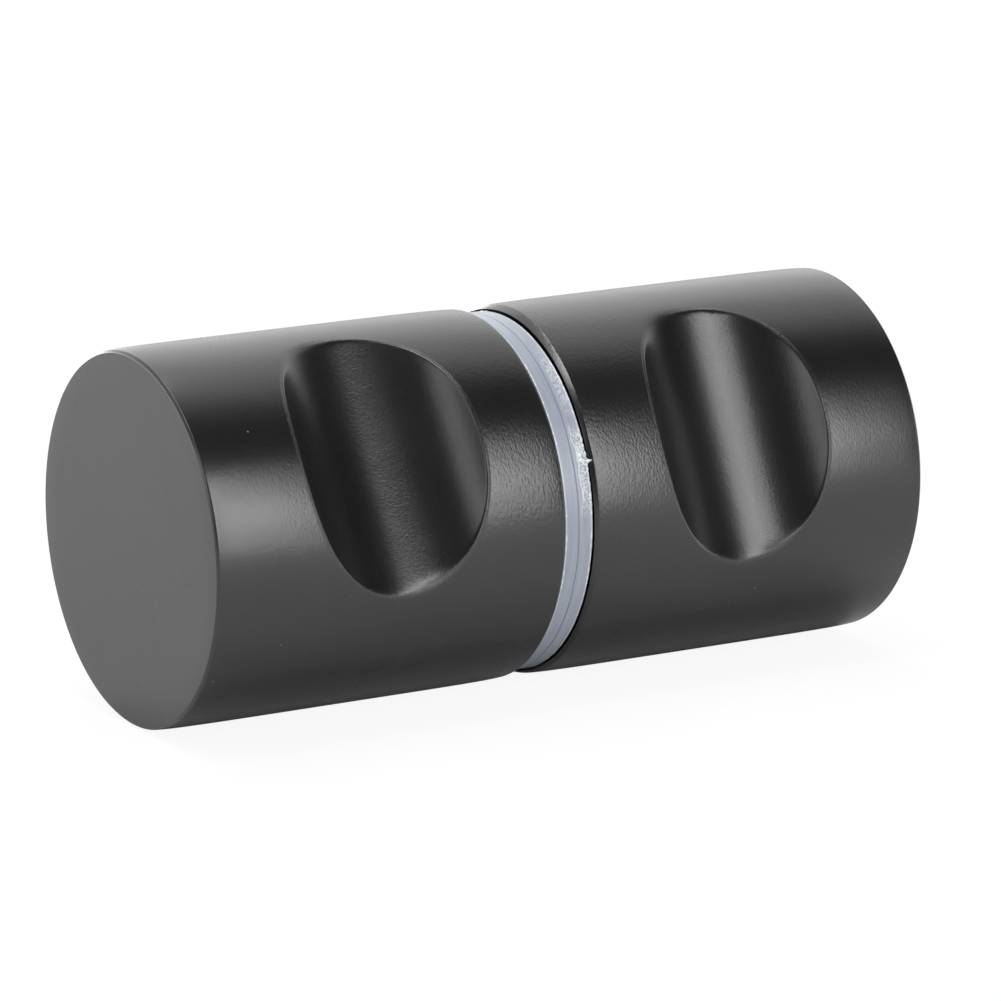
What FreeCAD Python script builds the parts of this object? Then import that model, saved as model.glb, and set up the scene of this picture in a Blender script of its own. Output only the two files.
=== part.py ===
import FreeCAD, Part
import math
import os
import Sketcher
from FreeCAD import Placement, Rotation, Vector

# Shower door handle: a pair of round knobs, back to back through the glass.
#
# Frame: +Z is up and +X runs along the screw that joins the two knobs, from
# the outer knob to the inner one. The origin is on that axis, on the plane
# where the two clear gaskets meet: the glass goes between them there.

os.makedirs("parts", exist_ok=True)
doc = FreeCAD.newDocument("ShowerDoorHandle")

# The driving dimensions, in millimetres and degrees.
SIZES = {
    "knob_diameter": 30.0,
    "knob_length": 30.8,
    # Edge breaks of a knob: round its free face, at the gasket, at a scoop.
    "free_edge_chamfer": 0.2,
    "gasket_edge_chamfer": 0.25,
    "scoop_edge_radius": 0.12,
    # A finger scoop is one straight pass of a round cutter across the knob.
    "scoop_cutter_radius": 9.2,
    "scoop_depth": 4.35,
    "scoop_from_gasket": 14.4,
    # How far the scoops stand above level where each knob came tight.
    "outer_knob_turn": 32.5,
    "inner_knob_turn": 27.0,
    # The tapped hole in the back of a knob, and the seat round its mouth.
    "seat_depth": 3.0,
    "tapped_depth": 20.0,
    "drill_point_angle": 118.0,
    # The threaded stud, drawn at the outside of its thread.
    "stud_diameter": 8.0,
    "stud_length": 30.0,
    "stud_end_chamfer": 1.0,
    "thread_clearance": 0.05,
    # The two gaskets, one against each face of the glass.
    "gasket_diameter": 28.9,
    "gasket_thickness": 1.3,
    "gasket_rim_chamfer": 0.12,
    # The bush keeps the stud off the edge of the hole in the glass.
    "bush_diameter": 11.5,
    "bush_length": 8.0,
    "bush_end_chamfer": 0.4,
    "bush_outer_clearance": 0.15,
    "bush_inner_clearance": 0.25,
}
sheet = doc.addObject("Spreadsheet::Sheet", "Dimensions")
for row, (name, value) in enumerate(SIZES.items(), start=1):
    sheet.set("A%d" % row, name)
    sheet.set("B%d" % row, str(value))
    sheet.setAlias("B%d" % row, name)
doc.recompute()


def along(*terms):
    """A coordinate as a sum of sizes: its value now, and the formula that drives it."""
    value = sum(factor * SIZES[name] for factor, name in terms)
    formula = " + ".join("%g * Dimensions.%s" % term for term in terms)
    return value, formula


def half(name):
    """Half of a diameter or a length."""
    return 0.5, name


ON_AXIS = along()


def origin_plane(body, role):
    """One of the body's own origin planes."""
    return next(f for f in body.Origin.OriginFeatures if f.Role == role)


def new_body(name):
    """An empty body, whose label names its file."""
    body = doc.addObject("PartDesign::Body", name)
    body.Label = name
    return body


def pin_point(sketch, line, point, x, y):
    """Ties a point of a sketch to its distances from the two axes."""
    for kind, axis, (value, formula) in (("DistanceX", -2, x), ("DistanceY", -1, y)):
        if formula:
            index = sketch.addConstraint(Sketcher.Constraint(kind, -1, 1, line, point, value))
            sketch.setExpression("Constraints[%d]" % index, formula)
        elif value is not None:
            sketch.addConstraint(Sketcher.Constraint("PointOnObject", line, point, axis))


def turned_section(body, name, corners):
    """A closed half section in the body's XZ plane: x along the axis, y the radius."""
    sketch = body.newObject("Sketcher::SketchObject", name)
    sketch.AttachmentSupport = [(origin_plane(body, "XZ_Plane"), "")]
    sketch.MapMode = "FlatFace"
    points = [Vector(x[0], y[0], 0) for x, y in corners]
    count = len(points)
    for i in range(count):
        sketch.addGeometry(Part.LineSegment(points[i], points[(i + 1) % count]), False)
    for i in range(count):
        sketch.addConstraint(Sketcher.Constraint("Coincident", i, 2, (i + 1) % count, 1))
    for i, (x, y) in enumerate(corners):
        pin_point(sketch, i, 1, x, y)
    return sketch


def turn(body, section):
    """The section turned once round the axis of the handle."""
    solid = body.newObject("PartDesign::Revolution", "Turned")
    solid.Profile = section
    solid.ReferenceAxis = (section, ["H_Axis"])
    solid.Angle = 360.0
    doc.recompute()
    return solid


# The knobs

def make_knob(name, plane_turn):
    """One solid knob of bar, with its back on the YZ plane and its free face at +X."""
    body = new_body(name)
    free_face = along((1, "knob_length"))
    rim = along(half("knob_diameter"))
    seat_wall = along(half("bush_diameter"), (1, "bush_outer_clearance"))
    hole_wall = along(half("stud_diameter"), (1, "thread_clearance"))
    hole_end = along((1, "tapped_depth"))
    # Past its full width the hole ends in the cone of the drill's point.
    point_length = hole_wall[0] / math.tan(math.radians(SIZES["drill_point_angle"]) / 2)
    point_end = (hole_end[0] + point_length, "%s + (%s) / tan(Dimensions.drill_point_angle * 1 deg / 2)"
                 % (hole_end[1], hole_wall[1]))
    section = turned_section(body, "KnobSection", [
        (point_end, ON_AXIS),
        (free_face, ON_AXIS),
        (free_face, along(half("knob_diameter"), (-1, "free_edge_chamfer"))),
        (along((1, "knob_length"), (-1, "free_edge_chamfer")), rim),
        (along((1, "gasket_edge_chamfer")), rim),
        (ON_AXIS, along(half("knob_diameter"), (-1, "gasket_edge_chamfer"))),
        (ON_AXIS, seat_wall),
        (along((1, "seat_depth")), seat_wall),
        (along((1, "seat_depth")), hole_wall),
        (hole_end, hole_wall),
    ])
    blank = turn(body, section)

    # Both scoops lie in one plane through the axis, turned about it. The
    # cutter runs square to that plane and its centre stays outside the knob.
    scoops = body.newObject("Sketcher::SketchObject", "ScoopCutters")
    scoops.AttachmentSupport = [(origin_plane(body, "XY_Plane"), "")]
    scoops.MapMode = "FlatFace"
    scoops.AttachmentOffset = Placement(Vector(0, 0, 0), Rotation(Vector(1, 0, 0), plane_turn[0]))
    scoops.setExpression("AttachmentOffset.Rotation.Angle", plane_turn[1])
    cutter = along((1, "scoop_cutter_radius"))
    across = along((1, "scoop_from_gasket"))
    for side in (1, -1):
        out = along((0.5 * side, "knob_diameter"), (side, "scoop_cutter_radius"), (-side, "scoop_depth"))
        outline = Part.Circle(Vector(across[0], out[0], 0), Vector(0, 0, 1), cutter[0])
        circle = scoops.addGeometry(outline, False)
        pin_point(scoops, circle, 3, across, out)
        index = scoops.addConstraint(Sketcher.Constraint("Radius", circle, cutter[0]))
        scoops.setExpression("Constraints[%d]" % index, cutter[1])
    cut = body.newObject("PartDesign::Pocket", "Scoops")
    cut.Profile = scoops
    cut.Type = "ThroughAll"
    cut.Midplane = True
    doc.recompute()
    if not cut.Shape.Volume < blank.Shape.Volume:
        raise RuntimeError("the scoops of %s cut nothing" % name)

    # Only a scoop's rim is a free curve: every other edge is a circle or a line.
    rims = ["Edge%d" % (i + 1) for i, edge in enumerate(cut.Shape.Edges)
            if edge.Curve.TypeId == "Part::GeomBSplineCurve"]
    eased = body.newObject("PartDesign::Fillet", "ScoopRims")
    eased.Base = (cut, rims)
    eased.setExpression("Radius", "Dimensions.scoop_edge_radius")
    doc.recompute()
    return body


outer_knob = make_knob("outer_knob", along((1, "outer_knob_turn")))
outer_knob.Placement = Placement(Vector(-SIZES["gasket_thickness"], 0, 0), Rotation(Vector(0, 0, 1), 180))
outer_knob.setExpression("Placement.Base.x", "-Dimensions.gasket_thickness")

half_turn = 180.0
inner_knob = make_knob("inner_knob", (half_turn - SIZES["inner_knob_turn"],
                                      "%g - Dimensions.inner_knob_turn" % half_turn))
inner_knob.setExpression("Placement.Base.x", "Dimensions.gasket_thickness")


# The threaded stud, which draws the knobs together: half in each of them.
stud = new_body("stud")
stud_wall = along(half("stud_diameter"))
stud_face = along(half("stud_diameter"), (-1, "stud_end_chamfer"))
turn(stud, turned_section(stud, "StudSection", [
    (along((-0.5, "stud_length")), ON_AXIS),
    (along((0.5, "stud_length")), ON_AXIS),
    (along((0.5, "stud_length")), stud_face),
    (along((0.5, "stud_length"), (-1, "stud_end_chamfer")), stud_wall),
    (along((-0.5, "stud_length"), (1, "stud_end_chamfer")), stud_wall),
    (along((-0.5, "stud_length")), stud_face),
]))


# The gaskets: two flat washers of clear plastic, a little under the knob's
# diameter, round the bush. The mould breaks both corners of their rims.

def make_gasket(name, side):
    """One washer, from the plane where the two meet to the back of its knob."""
    body = new_body(name)
    back = along((side, "gasket_thickness"))
    hole = along(half("bush_diameter"), (1, "bush_outer_clearance"))
    rim = along(half("gasket_diameter"))
    corner = along(half("gasket_diameter"), (-1, "gasket_rim_chamfer"))
    turn(body, turned_section(body, "GasketSection", [
        (ON_AXIS, hole),
        (back, hole),
        (back, corner),
        (along((side, "gasket_thickness"), (-side, "gasket_rim_chamfer")), rim),
        (along((side, "gasket_rim_chamfer")), rim),
        (ON_AXIS, corner),
    ]))
    return body


outer_gasket = make_gasket("outer_gasket", -1)
inner_gasket = make_gasket("inner_gasket", 1)


# The bush: a short clear sleeve on the stud. With no glass between the
# gaskets it stands in the seats of both knobs.
bush = new_body("bush")
bush_bore = along(half("stud_diameter"), (1, "bush_inner_clearance"))
bush_wall = along(half("bush_diameter"))
bush_face = along(half("bush_diameter"), (-1, "bush_end_chamfer"))
turn(bush, turned_section(bush, "BushSection", [
    (along((-0.5, "bush_length")), bush_bore),
    (along((0.5, "bush_length")), bush_bore),
    (along((0.5, "bush_length")), bush_face),
    (along((0.5, "bush_length"), (-1, "bush_end_chamfer")), bush_wall),
    (along((-0.5, "bush_length"), (1, "bush_end_chamfer")), bush_wall),
    (along((-0.5, "bush_length")), bush_face),
]))

# Every feature is checked before anything is written.
doc.recompute()
for item in doc.Objects:
    if "Invalid" in item.State or "Error" in item.State:
        raise RuntimeError("%s failed: %s" % (item.Label, item.State))
for body in (outer_knob, inner_knob, stud, outer_gasket, inner_gasket, bush):
    if body.Shape.isNull() or not body.Shape.isValid():
        raise RuntimeError("%s has no valid shape" % body.Label)
    body.Shape.exportStep("parts/%s.step" % body.Label)
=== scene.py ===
import bpy
import math
import numpy as np
from mathutils import Matrix, Vector


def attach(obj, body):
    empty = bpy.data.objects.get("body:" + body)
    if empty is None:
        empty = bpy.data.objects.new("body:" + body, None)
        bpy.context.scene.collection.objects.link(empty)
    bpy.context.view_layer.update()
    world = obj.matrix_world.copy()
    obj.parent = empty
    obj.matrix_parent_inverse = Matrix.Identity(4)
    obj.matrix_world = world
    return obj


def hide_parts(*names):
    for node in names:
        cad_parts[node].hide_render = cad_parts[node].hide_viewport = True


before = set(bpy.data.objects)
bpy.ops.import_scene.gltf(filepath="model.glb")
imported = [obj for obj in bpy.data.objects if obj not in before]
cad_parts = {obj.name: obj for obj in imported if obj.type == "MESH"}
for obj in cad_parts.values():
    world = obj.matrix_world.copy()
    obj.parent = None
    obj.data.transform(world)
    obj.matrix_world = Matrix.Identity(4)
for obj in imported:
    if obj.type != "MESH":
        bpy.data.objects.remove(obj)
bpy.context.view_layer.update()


# The two knobs. Each is one piece of aluminium bar, turned, milled with two
# opposite finger scoops, blasted and anodised satin black. They screw onto
# one stud, so each stops turning at an angle of its own.

MM = 0.001
KNOB_RADIUS = 15.0
KNOB_LENGTH = 30.8
GASKET_THICKNESS = 1.3
CUTTER_RADIUS = 9.2
# Each knob was milled in a set-up of its own: how far its scoops stand above level, how deep they are
# and how far their middle lies from the gasket.
OUTER_SCOOPS = (33.0, 4.6, 14.37)
INNER_SCOOPS = (26.4, 4.34, 14.5)
# Blasting rounds the rim of a scoop over this width, and the polishing wheel wore it softer in spots:
# on each knob, how far from the scoop's middle along the stud and up the wall, how wide and how soft.
RIM_BLEND = 0.05
OUTER_SOFT_SPOTS = ((3.2, 10.9, 3.0, 0.22), (-2.4, -11.2, 3.8, 0.2))
INNER_SOFT_SPOTS = ((-3.4, 10.4, 3.0, 0.3), (2.0, -11.3, 3.6, 0.16))
# Polishing before the blasting lets the wall fall off towards every edge, and once more close to its ends.
FALL_OFF = 0.11
FALL_OFF_LENGTH = 2.4
END_FALL_OFF = 0.04
END_FALL_OFF_LENGTH = 0.6
# The turned edges: round the free face, and at the gasket across its face and along the wall.
FREE_EDGE = 0.2
GASKET_EDGE = 0.25
GASKET_EDGE_LENGTH = 0.3
EDGE_EASE = 0.04
# The back is turned a little hollow under the gasket's rim.
HOLLOW = 0.25


def linear(hex_colour):
    """An sRGB hex colour as linear RGBA: each channel to the power 2.4 above the toe."""
    channels = [int(hex_colour[i:i + 2], 16) / 255 for i in (1, 3, 5)]
    return [c / 12.92 if c <= 0.04045 else ((c + 0.055) / 1.055) ** 2.4 for c in channels] + [1.0]


def make_surface(name, points, body, node, material):
    """A closed surface of revolution's kind from rows of points round the axis.

    points is (rows, columns, 3) in metres. Each row is joined to the next and
    each column to its neighbour, the last to the first. A row that lies on one
    point is a pole, and its squares become triangles.
    """
    rows, columns = points.shape[:2]
    pole = np.ptp(points, axis=1).max(axis=1) < 1e-9
    sizes = np.where(pole, 1, columns)
    starts = np.concatenate([[0], np.cumsum(sizes)[:-1]])
    index = starts[:, None] + np.where(pole[:, None], 0, np.arange(columns)[None, :])
    vertices = np.concatenate([points[i, :n] for i, n in enumerate(sizes)])
    a, b = index[:-1], index[1:]
    quads = np.stack([a, np.roll(a, -1, 1), np.roll(b, -1, 1), b], -1).reshape(-1, 4)
    faces = [tuple(dict.fromkeys(q)) for q in quads.tolist()]
    mesh = bpy.data.meshes.new(name)
    mesh.from_pydata(vertices.tolist(), [], [f for f in faces if len(f) > 2])
    mesh.validate()
    mesh.shade_smooth()
    mesh.set_sharp_from_angle(angle=math.radians(50))
    mesh.materials.append(material)
    piece = bpy.data.objects.new(name, mesh)
    bpy.context.scene.collection.objects.link(piece)
    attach(piece, body)
    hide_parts(node)
    return piece


def cutter_axis(depth):
    """How far the cutter's centre line stands from the stud's axis, for a scoop of that depth."""
    return KNOB_RADIUS + CUTTER_RADIUS - depth


def wall_radius(along, angle, up, depth, middle, soft_spots):
    """The radius of the knob's wall: the smaller of the bar's and the scoop's, blended at the rim.

    along is from the gasket and angle from the middle of a scoop. The scoop's radius is the
    cutter's near side divided by the angle's cosine. The bar's falls off by an exponential of the
    distance from each edge, where a scoop's is the length from its cutter's centre line, less its
    radius. The blend is a soft minimum, widened at each soft spot by a bell curve of the distance.
    """
    offset = along - middle
    blend = RIM_BLEND + sum(extra * np.exp(-((offset - off) ** 2 + (up - rise) ** 2) / wide ** 2)
                            for off, rise, wide, extra in soft_spots)
    from_scoop = np.hypot(offset, np.abs(KNOB_RADIUS * np.cos(angle)) - cutter_axis(depth)) - CUTTER_RADIUS
    from_ends = along, KNOB_LENGTH - along
    bar = KNOB_RADIUS - FALL_OFF * sum(np.exp(-np.maximum(length, 0) / FALL_OFF_LENGTH) for length in (from_scoop, *from_ends)) \
        - END_FALL_OFF * sum(np.exp(-length / END_FALL_OFF_LENGTH) for length in from_ends)
    across = np.clip(np.abs(offset) / CUTTER_RADIUS, 0, 1)
    floor = cutter_axis(depth) - CUTTER_RADIUS * np.sqrt(1 - across ** 2)
    scoop = floor / np.maximum(np.abs(np.cos(angle)), 0.2)
    return bar - blend * np.logaddexp(0, (bar - scoop) / blend)


def smooth(value, low, high):
    """0 below low, 1 above high, and 3t^2 - 2t^3 between them."""
    t = np.clip((value - low) / (high - low), 0, 1)
    return t * t * (3 - 2 * t)


def eased(before, corner, after):
    """A corner of the section as a parabola, which leaves and meets the sides at the ease's length."""
    start, end = (corner + EDGE_EASE * (p - corner) / np.linalg.norm(p - corner, axis=0) for p in (before, after))
    t = np.linspace(0, 1, 5)[:, None, None]
    return list((1 - t) ** 2 * start + 2 * t * (1 - t) * corner + t ** 2 * end)


def knob_points(side, scoops, soft_spots, hand_work):
    """A knob as rows round the axis, from the bottom of its tapped hole to the middle of its free face.

    The rows of the wall crowd along the rim of the scoops: each column of them is stretched so
    that fixed rows fall on the rim's distance from the scoop's middle, and no nearer to it than
    3.2 mm, so that the rows still close in past the scoop's ends. hand_work is how much wider
    the edge at the gasket was filed, over the top quarter of its round.
    """
    turn, depth, middle = scoops
    reach = math.acos((KNOB_RADIUS - depth) / (KNOB_RADIUS - FALL_OFF))
    inner = reach * np.sin(np.linspace(-1, 1, 91) * math.pi / 2)
    ends = reach + np.radians([0.05, 0.1, 0.16, 0.24, 0.35, 0.5, 0.7, 1.0, 1.4, 1.9, 2.6, 3.4, 4.4, 5.6, 7.2])
    plain = np.linspace(ends[-1], math.pi - ends[-1], 34)[1:-1]
    half = np.concatenate([inner, ends, plain, math.pi - ends[::-1]])
    angle = np.concatenate([half, half + math.pi])
    # The scoop's middle faces -Y, lifted by the knob's turn; the outer knob grows towards -X.
    heading = math.pi - math.radians(turn) + angle * side
    from_scoop = (angle + math.pi / 2) % math.pi - math.pi / 2
    shape = from_scoop, -side * from_scoop * KNOB_RADIUS, depth, middle, soft_spots
    drop = cutter_axis(depth) - (KNOB_RADIUS - FALL_OFF) * np.cos(from_scoop)
    rim = np.sqrt(np.clip(CUTTER_RADIUS ** 2 - drop ** 2, 3.2 ** 2, None))
    near_rim = np.array([1.3, 0.9, 0.6, 0.4, 0.28, 0.2, 0.14, 0.09, 0.05, 0.02])[:, None]

    degrees = np.degrees(heading) % 360
    filed = hand_work * smooth(degrees, 20, 60) * np.clip((152 - degrees) / 62, 0, 1)
    edge = GASKET_EDGE_LENGTH + filed + 0.012 * np.sin(9 * heading) + 0.008 * np.sin(23 * heading + 1)
    first, last = edge + EDGE_EASE, KNOB_LENGTH - FREE_EDGE - EDGE_EASE
    left = np.linspace(0, 1, 26)[:, None] * (middle - rim - near_rim[0] - first) + first
    across = np.linspace(-1, 1, 48)[:, None] * (rim - near_rim[0]) + middle
    right = np.linspace(0, 1, 30)[:, None] * (last - middle - rim - near_rim[0]) + middle + rim + near_rim[0]
    along = np.concatenate([left, middle - rim - near_rim[1:], middle - rim + near_rim[:0:-1], across,
                            middle + rim - near_rim[1:], middle + rim + near_rim[:0:-1], right])
    wall = np.stack([along, wall_radius(along, *shape)], 1)

    def ring(x, r):
        return np.stack([np.full_like(angle, x), np.full_like(angle, r)])

    hole, seat = 4.05, 5.9
    cone = hole / math.tan(math.radians(59))
    rim_in, rim_out = wall_radius(edge, *shape), wall_radius(last, *shape)
    face_rim = rim_in - GASKET_EDGE - 0.08 * filed
    a = np.stack([0.3 * filed, face_rim])
    b = np.stack([edge, rim_in])
    c = np.stack([np.full_like(angle, KNOB_LENGTH - FREE_EDGE), rim_out])
    d = np.stack([np.full_like(angle, KNOB_LENGTH), rim_out - FREE_EDGE])
    rows = [ring(20 + cone, 0), ring(20, hole), ring(3, hole), ring(3, seat), ring(0, seat), ring(0, 9), ring(0, 13)]
    rows += [ring(HOLLOW, 13.2), np.stack([np.full_like(angle, HOLLOW), face_rim - 0.1])]
    rows += eased(rows[-1], a, b) + eased(a, b, wall[1])[:-1] + list(wall)
    rows += eased(wall[-2], c, d)[1:] + eased(c, d, ring(KNOB_LENGTH, 13))
    rows += [ring(KNOB_LENGTH, 13), ring(KNOB_LENGTH, 8), ring(KNOB_LENGTH, 0)]
    x, r = np.stack(rows, 1)
    return np.stack([side * (x + GASKET_THICKNESS), r * np.cos(heading), r * np.sin(heading)], -1) * MM


def add(tree, kind, settings=(), **inputs):
    """A node of that kind, with its settings, and each input set to a value or linked to an output."""
    made = tree.nodes.new(kind)
    for key, value in dict(settings).items():
        setattr(made, key, value)
    for key, value in inputs.items():
        socket = made.inputs[int(key[1:])] if key[0] == "_" and key[1:].isdigit() else made.inputs[key.replace("_", " ")]
        if isinstance(value, bpy.types.NodeSocket):
            tree.links.new(value, socket)
        else:
            socket.default_value = value
    return made


def new_material(name):
    """An empty material and its tree, with the output node."""
    material = bpy.data.materials.new(name)
    material.use_nodes = True
    material.node_tree.nodes.clear()
    return material, material.node_tree, material.node_tree.nodes.new("ShaderNodeOutputMaterial")


def satin_black_anodised(name, side, scoops):
    """Black anodised aluminium: a dyed oxide film, so a dark body colour under a clear, hard gloss.

    Fine blasting leaves a pebbled skin with grains of about a quarter of a millimetre, drawn
    coarser than the 0.1 mm of the grit so that it shows, and pulled out along the tool's path.
    It is deepest at the joint, shallow in the scoops and slight on the turned edges and faces.
    Where the surface passes close to the middle of a 3.5 mm cell lies a speck of lint.
    """
    material, tree, output = new_material(name)
    place = add(tree, "ShaderNodeTexCoord").outputs["Object"]
    turn, depth, middle = scoops
    # The knob's own directions: along the stud, out of the scoop, along the scoop.
    turned = add(tree, "ShaderNodeMapping", Vector=place, Rotation=(math.radians(turn), 0, 0)).outputs[0]
    parts = add(tree, "ShaderNodeSeparateXYZ", Vector=turned)
    along = add(tree, "ShaderNodeMath", {"operation": "SUBTRACT"}, _0=parts.outputs[0], _1=side * (GASKET_THICKNESS + middle) * MM)
    out = add(tree, "ShaderNodeMath", {"operation": "ABSOLUTE"}, _0=parts.outputs[1])
    out = add(tree, "ShaderNodeMath", {"operation": "SUBTRACT"}, _0=out.outputs[0], _1=cutter_axis(depth) * MM)
    reach = add(tree, "ShaderNodeCombineXYZ", X=along.outputs[0], Y=out.outputs[0])
    reach = add(tree, "ShaderNodeVectorMath", {"operation": "LENGTH"}, _0=reach.outputs[0])
    in_scoop = add(tree, "ShaderNodeMapRange", {"interpolation_type": "SMOOTHSTEP"}, Value=reach.outputs["Value"],
                   _1=(CUTTER_RADIUS + 0.25) * MM, _2=(CUTTER_RADIUS + 0.05) * MM, _3=0.0, _4=1.0).outputs[0]
    # Grain on the wall runs round the knob; in a scoop it runs across, the way the cutter went.
    wall_grain = add(tree, "ShaderNodeMapping", {"vector_type": "POINT"}, Vector=place, Scale=(5600, 3000, 3000)).outputs[0]
    scoop_grain = add(tree, "ShaderNodeMapping", {"vector_type": "POINT"}, Vector=turned, Scale=(3800, 3800, 5400)).outputs[0]
    grain_at = add(tree, "ShaderNodeMix", {"data_type": "VECTOR"}, _0=in_scoop, _4=wall_grain, _5=scoop_grain).outputs[1]
    grain = add(tree, "ShaderNodeTexNoise", Vector=grain_at, Scale=1.0, Detail=1.0, Roughness=0.5)
    wave = add(tree, "ShaderNodeTexNoise", Vector=place, Scale=400.0, Detail=1.0, Roughness=0.5)
    cloud = add(tree, "ShaderNodeTexNoise", Vector=place, Scale=90.0, Detail=2.0, Roughness=0.5)
    waved = add(tree, "ShaderNodeBump", Strength=1.0, Distance=0.000012, Height=wave.outputs["Fac"])
    from_joint = add(tree, "ShaderNodeMath", {"operation": "ABSOLUTE"}, _0=parts.outputs[0])
    deep = add(tree, "ShaderNodeMapRange", Value=from_joint.outputs[0], _1=GASKET_THICKNESS * MM, _2=KNOB_LENGTH * MM,
               _3=0.000019, _4=0.000008)
    radius = add(tree, "ShaderNodeCombineXYZ", Y=parts.outputs[1], Z=parts.outputs[2])
    radius = add(tree, "ShaderNodeVectorMath", {"operation": "LENGTH"}, _0=radius.outputs[0])
    on_wall = add(tree, "ShaderNodeMapRange", {"interpolation_type": "SMOOTHSTEP"}, Value=radius.outputs["Value"],
                  _1=(KNOB_RADIUS - 0.24) * MM, _2=(KNOB_RADIUS - 0.16) * MM, _3=0.2, _4=1.0)
    deep = add(tree, "ShaderNodeMath", {"operation": "MULTIPLY"}, _0=deep.outputs[0], _1=on_wall.outputs[0])
    deep = add(tree, "ShaderNodeMix", {"data_type": "FLOAT"}, _0=in_scoop, _2=deep.outputs[0], _3=0.000008)
    bump = add(tree, "ShaderNodeBump", Strength=1.0, Distance=deep.outputs[0], Height=grain.outputs["Fac"], Normal=waved.outputs[0])
    shade = add(tree, "ShaderNodeMapRange", Value=cloud.outputs["Fac"], _1=0.3, _2=0.7, _3=0.0, _4=1.0).outputs[0]
    dyed = add(tree, "ShaderNodeMix", {"data_type": "RGBA"}, _0=shade, _6=linear("#131314"), _7=linear("#181819"))
    cell = add(tree, "ShaderNodeTexVoronoi", {"feature": "F1"}, Vector=place, Scale=285.0)
    speck = add(tree, "ShaderNodeMapRange", Value=cell.outputs["Distance"], _1=0.017, _2=0.028, _3=0.6, _4=0.0)
    colour = add(tree, "ShaderNodeMix", {"data_type": "RGBA"}, _0=speck.outputs[0], _6=dyed.outputs[2], _7=linear("#8b8984"))
    rough = add(tree, "ShaderNodeMapRange", Value=cloud.outputs["Fac"], _1=0.3, _2=0.7, _3=0.265, _4=0.29)
    skin = add(tree, "ShaderNodeBsdfPrincipled", Base_Color=colour.outputs[2], Roughness=rough.outputs[0],
               IOR=1.7, Normal=bump.outputs[0])
    tree.links.new(skin.outputs[0], output.inputs["Surface"])
    return material


for node_name, side, scoops, soft_spots, hand_work in (
        ("outer_knob", -1, OUTER_SCOOPS, OUTER_SOFT_SPOTS, 0.0), ("inner_knob", 1, INNER_SCOOPS, INNER_SOFT_SPOTS, 0.6)):
    finish = satin_black_anodised("satin_black_anodised_aluminium_" + node_name, side, scoops)
    points = knob_points(side, scoops, soft_spots, hand_work)
    make_surface(node_name + "_anodised", points, "root", node_name, finish)


# The gaskets. Two soft clear washers moulded in plasticised PVC, clamped
# between the glass and the knobs. The inner one's moulding gate was torn off
# by hand, which left a rough glossy scar and a spike on its rim.

GASKET_RADIUS = 14.45
GASKET_HOLE = 5.9
GASKET_CORNER = 0.12
SEAM_CORNER = 0.05


def pebbles(across, around, spacing, seed):
    """Smooth heights from 0 to 1: random numbers on a square lattice, eased from one to the next."""
    table = np.random.default_rng(seed).random((512, 512))
    u, v = across / spacing, around / spacing
    i, j = np.floor(u).astype(int), np.floor(v).astype(int)
    s, t = smooth(u - i, 0, 1), smooth(v - j, 0, 1)
    near = table[i % 512, j % 512] * (1 - s) + table[(i + 1) % 512, j % 512] * s
    far = table[i % 512, (j + 1) % 512] * (1 - s) + table[(i + 1) % 512, (j + 1) % 512] * s
    return near * (1 - t) + far * t


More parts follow.
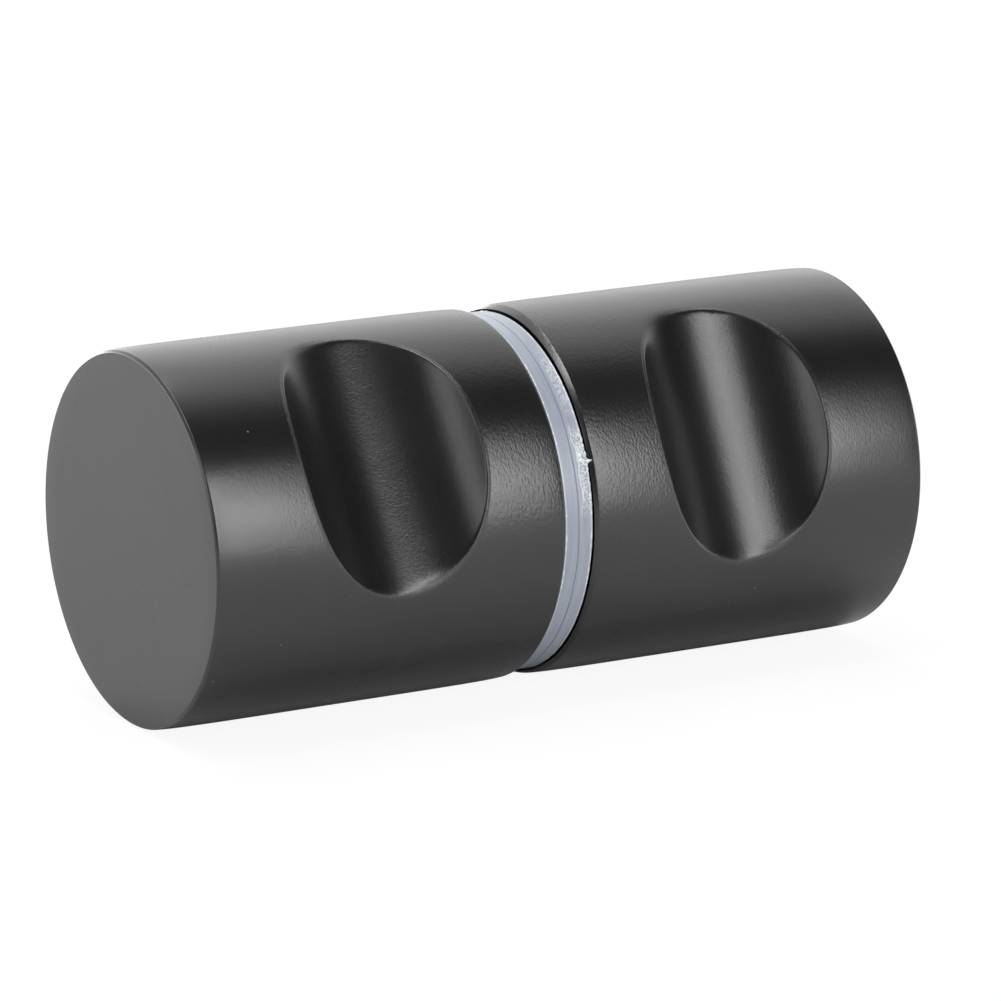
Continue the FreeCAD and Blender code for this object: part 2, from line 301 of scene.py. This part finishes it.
def gasket_points(side, torn):
    """A washer as rows round the axis, its free rim rounded at both corners by quarter circles.

    The torn one adds to its rim, over the gate's 30 degrees: a wavy ridge along the joint, a
    pebbled scar, a lump and a spike, each a bell curve of the distance from its own middle. Above
    the gate lies a patch of painted glints, fine white flecks with a faint bump. Along the corner
    at the knob and along the ridge lies a painted highlight. Returns the points, and for each one how torn
    it is with the painted glints counted in, how strong the painted highlight is, and how near it is to the joint.
    """
    bend = np.radians(np.linspace(0, 90, 7))
    near_corner, far_corner = (np.stack([size * (1 - np.cos(bend)), GASKET_RADIUS - size * (1 - np.sin(bend))])
                               for size in (SEAM_CORNER, GASKET_CORNER))
    rim = np.linspace(SEAM_CORNER, GASKET_THICKNESS - GASKET_CORNER, 24)[1:-1]
    far_corner = np.stack([GASKET_THICKNESS - far_corner[0, ::-1], far_corner[1, ::-1]])
    flat = np.array([(0, GASKET_HOLE), (0, 10), (0, 13)]).T
    back = np.array([(GASKET_THICKNESS, 13), (GASKET_THICKNESS, 10), (GASKET_THICKNESS, GASKET_HOLE), (0, GASKET_HOLE)]).T
    x, r = np.concatenate([flat, near_corner, np.stack([rim, np.full_like(rim, GASKET_RADIUS)]), far_corner, back], 1)
    degrees = np.concatenate([np.arange(0, 100, 1.0), np.arange(100, 144, 0.5), np.arange(144, 182, 0.2), np.arange(182, 360, 1.0)])
    x, r, turn = x[:, None], r[:, None], degrees[None, :]
    arc = np.radians(turn) * GASKET_RADIUS
    on_rim = smooth(r, GASKET_RADIUS - 0.2, GASKET_RADIUS - 0.05)
    lift = on_rim * 0.012 * (pebbles(x, arc, 0.5, 3) - 0.5)
    push = np.zeros_like(lift)
    # Thin flash along the corner at the knob, broken into flakes here and there. A painted highlight lies along that
    # corner, brightest on the flakes.
    flakes = smooth(pebbles(0 * x, arc, 0.22, 5), 0.5, 0.9) * smooth(pebbles(0 * x, arc, 2.5, 6), 0.3, 0.6)
    corner = np.exp(-((x - GASKET_THICKNESS + 0.15) / 0.06) ** 2) * on_rim
    lift = lift + 0.05 * corner * flakes
    painted_edge_highlight = corner * (0.6 + 1.0 * flakes)
    seam = np.exp(-(x / 0.1) ** 2) * on_rim
    scar = np.zeros_like(lift)
    if torn:
        gate = smooth(turn, 146, 152) * (1 - smooth(turn, 170, 178)) * on_rim
        wavy = 0.36 + 0.05 * np.sin(arc * 2.1) + 0.12 * (pebbles(0 * x, arc, 0.7, 7) - 0.5)
        ridge = np.exp(-((x - wavy) / 0.07) ** 2) * (0.5 + pebbles(0 * x, arc, 0.35, 8)) * gate
        rough = smooth(x, 0.3, 0.5) * gate
        lump = np.exp(-((x - 0.88) / 0.34) ** 2 - ((turn - 157.6) * 0.252 / 0.5) ** 2) * on_rim
        spike = np.exp(-np.hypot((x - 1.17) / 0.10, (turn - 159.3) * 0.252 / 0.11)) * on_rim
        lift = lift + 0.15 * ridge + rough * 0.11 * (pebbles(x, arc, 0.13, 9) - 0.35) \
            + lump * (0.12 + 0.26 * (pebbles(x, arc, 0.12, 10) - 0.4)) + 0.62 * spike
        push = 0.30 * spike
        # Painted glints: a patch of fine white flecks above the gate, with a faint bump.
        painted_glint_patch = smooth(turn, 114, 128) * (1 - smooth(turn, 136, 146)) * smooth(x, 0.2, 0.5) * on_rim
        lift = lift + 0.03 * painted_glint_patch * pebbles(x, arc, 0.12, 11)
        scar = np.clip(0.45 * rough + lump + 2 * spike + 0.36 * painted_glint_patch, 0, 1)
        # A painted highlight along the ridge.
        painted_edge_highlight = painted_edge_highlight + 1.1 * ridge
    r = np.where(on_rim > 0, np.minimum(r + lift, 14.98), r)
    heading = np.radians(turn) * np.ones_like(r)
    points = np.stack([side * (x + push), r * np.cos(heading), r * np.sin(heading)], -1) * MM
    # The edge mark is a painted highlight; the scar mark carries the painted glints too.
    marks = {"scar": scar, "edge": painted_edge_highlight, "seam": seam}
    return points[:, ::side], {name: (value * np.ones_like(r))[:, ::side] for name, value in marks.items()}


def soft_clear_pvc(name):
    """Clear soft PVC: milky and faintly blue in the thickness, with a painted highlight whitening its thin edges.

    The mould leaves a satin skin with faint streaks round the rim, some 0.4 mm apart. Torn PVC is
    wetter and whiter, and its flecks also paint the glints of the patch above the tear; the joint of the two washers
    lets less light through, so it is bluer.
    """
    material, tree, output = new_material(name)
    place = add(tree, "ShaderNodeTexCoord").outputs["Object"]
    cloud = add(tree, "ShaderNodeTexNoise", Vector=place, Scale=700.0, Detail=3.0, Roughness=0.6)
    scar = add(tree, "ShaderNodeAttribute", {"attribute_name": "scar"}).outputs["Fac"]
    # The edge mark is a painted highlight along the corner and the torn ridge.
    edge = add(tree, "ShaderNodeAttribute", {"attribute_name": "edge"}).outputs["Fac"]
    seam = add(tree, "ShaderNodeAttribute", {"attribute_name": "seam"}).outputs["Fac"]
    streaks = add(tree, "ShaderNodeMapping", Vector=place, Scale=(2500, 260, 260))
    streaks = add(tree, "ShaderNodeTexNoise", Vector=streaks.outputs[0], Scale=1.0, Detail=2.0, Roughness=0.6)
    milky = add(tree, "ShaderNodeMix", {"data_type": "RGBA"}, _0=streaks.outputs["Fac"], _6=linear("#8a919f"), _7=linear("#acb2bd"))
    joint = add(tree, "ShaderNodeMath", {"operation": "MULTIPLY"}, _0=seam, _1=0.5)
    milky = add(tree, "ShaderNodeMix", {"data_type": "RGBA"}, _0=joint.outputs[0], _6=milky.outputs[2], _7=linear("#737a94"))
    flecks = add(tree, "ShaderNodeTexNoise", Vector=place, Scale=5200.0, Detail=1.0, Roughness=0.5)
    fleck = add(tree, "ShaderNodeMapRange", Value=flecks.outputs["Fac"], _1=0.41, _2=0.56, _3=0.05, _4=1.1)
    fleck = add(tree, "ShaderNodeMath", {"operation": "MULTIPLY"}, _0=fleck.outputs[0], _1=scar)
    # Painted highlight: the edge mark whitens the colour. The flecks whiten the torn scar and paint glints on the
    # patch above it.
    white = add(tree, "ShaderNodeMath", {"operation": "MULTIPLY_ADD", "use_clamp": True}, _0=edge, _1=1.0, _2=fleck.outputs[0])
    colour = add(tree, "ShaderNodeMix", {"data_type": "RGBA"}, _0=white.outputs[0], _6=milky.outputs[2], _7=linear("#eef2f6"))
    rough = add(tree, "ShaderNodeMapRange", Value=scar, _1=0.0, _2=1.0, _3=0.3, _4=0.1)
    bump = add(tree, "ShaderNodeBump", Strength=1.0, Distance=0.000008, Height=cloud.outputs["Fac"])
    body = add(tree, "ShaderNodeBsdfPrincipled", Base_Color=colour.outputs[2], Roughness=rough.outputs[0], IOR=1.53, Normal=bump.outputs[0])
    tree.links.new(body.outputs[0], output.inputs["Surface"])
    return material


clear = soft_clear_pvc("soft_clear_pvc")
for node_name, side, torn in (("outer_gasket", -1, False), ("inner_gasket", 1, True)):
    points, marks = gasket_points(side, torn)
    piece = make_surface(node_name + "_moulded", points, "root", node_name, clear)
    for name, values in marks.items():
        piece.data.attributes.new(name, "FLOAT", "POINT").data.foreach_set("value", values.astype(np.float32).ravel())


# The stud. A headless screw of mild steel with a rolled M8 thread, zinc
# plated, half in each knob. It draws the knobs against the glass.

STUD_RADIUS = 4.0
STUD_LENGTH = 30.0
STUD_POINT = 1.0
PITCH = 1.25


def stud_points():
    """A screw as rings along the axis, their radius a function of length and angle.

    The helix phase is the length in pitches less the angle in turns. From the crest's flat, an
    eighth of the pitch wide, the flank falls at 30 degrees off square to the root, 0.61 pitch
    deep. Both ends fall off at 45 degrees.
    """
    along = np.linspace(-STUD_LENGTH / 2, STUD_LENGTH / 2, 385)[:, None]
    turn = np.linspace(0, 2 * math.pi, 48, endpoint=False)[None, :]
    from_crest = np.abs((along / PITCH - turn / (2 * math.pi)) % 1 - 0.5) * PITCH
    radius = STUD_RADIUS - np.clip((from_crest - PITCH / 16) / math.tan(math.radians(30)), 0, 0.6134 * PITCH)
    radius = np.minimum(radius, STUD_RADIUS - STUD_POINT + STUD_LENGTH / 2 - np.abs(along))
    points = np.stack([along + 0 * turn, radius * np.cos(turn), radius * np.sin(turn)], -1)
    ends = points[[0, -1]] * (1, 0, 0)
    return np.concatenate([ends[:1], points, ends[1:]]) * MM


def zinc_plated_steel(name):
    """Bright zinc plate on a rolled thread: pale grey metal, cloudy, with fine lines round the axis."""
    material, tree, output = new_material(name)
    place = add(tree, "ShaderNodeTexCoord").outputs["Object"]
    cloud = add(tree, "ShaderNodeTexNoise", Vector=place, Scale=400.0, Detail=3.0, Roughness=0.6)
    # Rolling lines lie some 0.05 mm apart; they are drawn at 0.2 mm so that they show.
    lines = add(tree, "ShaderNodeMapping", Vector=place, Scale=(5000, 300, 300))
    lines = add(tree, "ShaderNodeTexNoise", Vector=lines.outputs[0], Scale=1.0, Detail=2.0, Roughness=0.5)
    colour = add(tree, "ShaderNodeMix", {"data_type": "RGBA"}, _0=cloud.outputs["Fac"], _6=linear("#a9abab"), _7=linear("#cccdca"))
    rough = add(tree, "ShaderNodeMapRange", Value=cloud.outputs["Fac"], _1=0.3, _2=0.7, _3=0.24, _4=0.42)
    bump = add(tree, "ShaderNodeBump", Strength=1.0, Distance=0.000004, Height=lines.outputs["Fac"])
    plate = add(tree, "ShaderNodeBsdfPrincipled", Base_Color=colour.outputs[2], Metallic=1.0, Roughness=rough.outputs[0], Normal=bump.outputs[0])
    tree.links.new(plate.outputs[0], output.inputs["Surface"])
    return material


make_surface("stud_threaded", stud_points(), "root", "stud", zinc_plated_steel("zinc_plated_steel"))


# The bush. A short sleeve cut from clear nylon tube, loose on the stud. It
# keeps the metal off the edge of the hole in the glass.

def clear_nylon(name):
    """Natural nylon: lets light through, a little cloudy and faintly yellow, with lines from the extruder's die."""
    material, tree, output = new_material(name)
    place = add(tree, "ShaderNodeTexCoord").outputs["Object"]
    cloud = add(tree, "ShaderNodeTexNoise", Vector=place, Scale=350.0, Detail=2.0, Roughness=0.5)
    # Die lines run along the tube, drawn half a millimetre apart.
    lines = add(tree, "ShaderNodeMapping", Vector=place, Scale=(100, 2000, 2000))
    lines = add(tree, "ShaderNodeTexNoise", Vector=lines.outputs[0], Scale=1.0, Detail=1.0, Roughness=0.5)
    colour = add(tree, "ShaderNodeMix", {"data_type": "RGBA"}, _0=cloud.outputs["Fac"], _6=linear("#dddcd2"), _7=linear("#ecebe4"))
    rough = add(tree, "ShaderNodeMapRange", Value=cloud.outputs["Fac"], _1=0.3, _2=0.7, _3=0.18, _4=0.32)
    bump = add(tree, "ShaderNodeBump", Strength=1.0, Distance=0.00001, Height=lines.outputs["Fac"])
    sleeve = add(tree, "ShaderNodeBsdfPrincipled", Base_Color=colour.outputs[2], Roughness=rough.outputs[0], IOR=1.53,
                 Transmission_Weight=0.6, Normal=bump.outputs[0])
    tree.links.new(sleeve.outputs[0], output.inputs["Surface"])
    return material


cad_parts["bush"].data.materials.clear()
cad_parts["bush"].data.materials.append(clear_nylon("clear_nylon"))


# The studio: a pale table under a white sweep, four soft boxes in front and
# one at the left, a strip and a small box overhead, and low strips round it.

floor_mesh = bpy.data.meshes.new("table_top")
reach = 10.0
low = -KNOB_RADIUS * MM
floor_mesh.from_pydata([(-reach, -reach, low), (reach, -reach, low), (reach, reach, low), (-reach, reach, low)], [], [(0, 1, 2, 3)])
table_top = bpy.data.objects.new("table_top", floor_mesh)
bpy.context.scene.collection.objects.link(table_top)
material, tree, output = new_material("pale_table")
paper = add(tree, "ShaderNodeBsdfDiffuse", Color=(0.75, 0.75, 0.75, 1))
glow = add(tree, "ShaderNodeEmission", Color=(1, 1, 1, 1), Strength=1.04)
ray = add(tree, "ShaderNodeLightPath").outputs
# Gloss and clear plastic see the white of the table too, but not close to the handle, where its shadow lies.
spot = add(tree, "ShaderNodeMapping", Vector=add(tree, "ShaderNodeTexCoord").outputs["Object"], Scale=(0.5, 1, 0))
distance = add(tree, "ShaderNodeVectorMath", {"operation": "LENGTH"}, _0=spot.outputs[0])
away = add(tree, "ShaderNodeMapRange", {"interpolation_type": "SMOOTHSTEP"}, _0=distance.outputs["Value"],
           _1=0.04, _2=0.16, _3=0.0, _4=0.5)
mirrored = add(tree, "ShaderNodeMath", {"operation": "ADD"}, _0=ray["Is Glossy Ray"], _1=ray["Is Transmission Ray"])
mirrored = add(tree, "ShaderNodeMath", {"operation": "MULTIPLY"}, _0=mirrored.outputs[0], _1=away.outputs[0])
share = add(tree, "ShaderNodeMath", {"operation": "MULTIPLY_ADD"}, _0=ray["Is Camera Ray"], _1=0.88, _2=mirrored.outputs[0])
mix = add(tree, "ShaderNodeMixShader", Fac=share.outputs[0], _1=paper.outputs[0], _2=glow.outputs[0])
tree.links.new(mix.outputs[0], output.inputs["Surface"])
floor_mesh.materials.append(material)

# The sweep behind the table glows up to where it ends, well below overhead. The camera sees white
# all round; gloss, clear plastic and the soft light see it only where the sweep is.
world = bpy.data.worlds.new("white_sweep")
bpy.context.scene.world = world
world.use_nodes = True
tree = world.node_tree
tree.nodes.clear()
output = tree.nodes.new("ShaderNodeOutputWorld")
towards = add(tree, "ShaderNodeSeparateXYZ", _0=add(tree, "ShaderNodeTexCoord").outputs["Generated"])
behind = add(tree, "ShaderNodeMapRange", {"interpolation_type": "SMOOTHSTEP"}, _0=towards.outputs[1],
             _1=-0.15, _2=0.5, _3=0.0, _4=1.0)
below_top = add(tree, "ShaderNodeMapRange", {"interpolation_type": "SMOOTHSTEP"}, _0=towards.outputs[2],
                _1=0.91, _2=1.0, _3=1.0, _4=0.0)
sweep = add(tree, "ShaderNodeMath", {"operation": "MULTIPLY"}, _0=behind.outputs[0], _1=below_top.outputs[0])
white = add(tree, "ShaderNodeBackground", _0=(1, 1, 1, 1), _1=1.0)
room = add(tree, "ShaderNodeBackground", _0=(1, 1, 1, 1), _1=add(
    tree, "ShaderNodeMath", {"operation": "ADD"}, _0=sweep.outputs[0], _1=0.01).outputs[0])
ray = add(tree, "ShaderNodeLightPath").outputs
mirrored = add(tree, "ShaderNodeMath", {"operation": "ADD"}, _0=ray["Is Glossy Ray"], _1=ray["Is Transmission Ray"])
share = add(tree, "ShaderNodeMath", {"operation": "MULTIPLY_ADD", "use_clamp": True}, _0=mirrored.outputs[0],
            _1=sweep.outputs[0], _2=ray["Is Camera Ray"])
mix = add(tree, "ShaderNodeMixShader", _0=share.outputs[0], _1=room.outputs[0], _2=white.outputs[0])
tree.links.new(mix.outputs[0], output.inputs["Surface"])

LAMP_DISTANCE = 2.0


def soft_box(name, bearing, elevation, wide, high, radiance):
    """A soft box facing the origin, placed and sized by the angles that the object sees it under.

    Bearing runs from +Y towards +X. The power is pi times the area times the radiance wanted.
    """
    lamp = bpy.data.lights.new(name, "AREA")
    lamp.shape = "RECTANGLE"
    lamp.size, lamp.size_y = (2 * LAMP_DISTANCE * math.tan(math.radians(v) / 2) for v in (wide, high))
    lamp.energy = math.pi * lamp.size * lamp.size_y * radiance
    holder = bpy.data.objects.new(name, lamp)
    b, e = math.radians(bearing), math.radians(elevation)
    away = Vector((math.sin(b) * math.cos(e), math.cos(b) * math.cos(e), math.sin(e)))
    holder.location = away * LAMP_DISTANCE
    holder.rotation_euler = away.to_track_quat("Z", "Y").to_euler()
    bpy.context.scene.collection.objects.link(holder)


soft_box("front_strip", 156.5, 18.9, 19.4, 46.5, 4.07)
soft_box("front_strip_core", 152.3, 19.1, 9.3, 15.5, 2.65)
soft_box("front_top_strip", 176, 35.7, 20.8, 8, 7.1)
soft_box("front_low_box", 188, 13, 22, 14, 3.5)
soft_box("left_box", 256.3, 18.6, 16.5, 38.2, 1.95)
soft_box("right_low_strip", 106.2, 2.4, 30.3, 8.7, 3.0)
soft_box("overhead_box", 222, 76, 12, 12, 10.0)
soft_box("overhead_strip", 316.2, 80.6, 59.7, 10, 7.75)
soft_box("back_low_strip", 339.6, 4.1, 87, 13.5, 6.0)
soft_box("back_wide_box", 28, 23.3, 109.7, 39, 0.49)


# The camera stands where the photograph was taken from: its place and its
# angle come from the outlines of the two knobs.

CAMERA_AZIMUTH, CAMERA_ELEVATION, CAMERA_ROLL = -30.34, 13.57, 0.0
CAMERA_OFFSET = (-1.15, 0.70)
CAMERA_DISTANCE = 477.2
FOCAL_PIXELS, IMAGE_PIXELS, SENSOR = 5945.0, 1001, 36.0
a, e, r = (math.radians(v) for v in (CAMERA_AZIMUTH, CAMERA_ELEVATION, CAMERA_ROLL))
back = Vector((math.sin(a) * math.cos(e), -math.cos(a) * math.cos(e), math.sin(e)))
right = Vector((math.cos(a), math.sin(a), 0))
up = back.cross(right)
right, up = right * math.cos(r) + up * math.sin(r), up * math.cos(r) - right * math.sin(r)
lens = bpy.data.cameras.new("camera")
lens.sensor_width = SENSOR
lens.lens = FOCAL_PIXELS / IMAGE_PIXELS * SENSOR
lens.clip_start = 0.01
camera = bpy.data.objects.new("camera", lens)
camera.matrix_world = Matrix.Translation(
    (back * CAMERA_DISTANCE - right * CAMERA_OFFSET[0] - up * CAMERA_OFFSET[1]) * MM
) @ Matrix((right, up, back)).transposed().to_4x4()
bpy.context.scene.collection.objects.link(camera)
bpy.context.scene.camera = camera
bpy.context.scene.view_settings.view_transform = "Standard"
